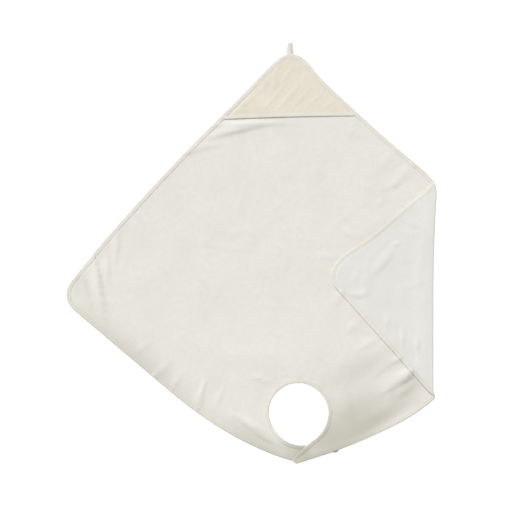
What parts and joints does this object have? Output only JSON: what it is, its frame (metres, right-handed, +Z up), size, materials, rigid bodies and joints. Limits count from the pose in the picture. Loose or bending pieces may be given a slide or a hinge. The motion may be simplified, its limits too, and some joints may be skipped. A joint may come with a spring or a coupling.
{
  "type": "hooded bath apron",
  "caption": "Square towelling apron laid flat on its corner, with a hood, a closed neck ring with overlapping straps, a hanging loop and one side corner folded over to the front.",
  "frame": {"origin": "middle of the laid-out apron's bounding box, on the surface that it lies on", "axes": "+Y towards the hood and the hanging loop, +X towards the folded corner, +Z up from the surface"},
  "size_m": [1.0246, 1.166, 0.0167],
  "materials": {
    "towelling": "cream cotton towelling, smooth velour front, looped reverse",
    "hood_cloth": "cream cotton weave, matt",
    "bias_tape": "cream cotton bias tape, edge stitched, matt",
    "loop_tape": "cream folded cotton tape, matt",
    "closure_pad": "cream hook and loop tape"
  },
  "bodies": {
    "root": {"body_panel": "towelling", "left_strap": "towelling", "right_strap": "towelling", "hood": "hood_cloth", "edge_binding": "bias_tape", "neck_binding": "bias_tape", "hood_binding": "bias_tape", "hanging_loop": "loop_tape", "loop_pad": "closure_pad", "hook_pad": "closure_pad"}
  },
  "joints": []
}
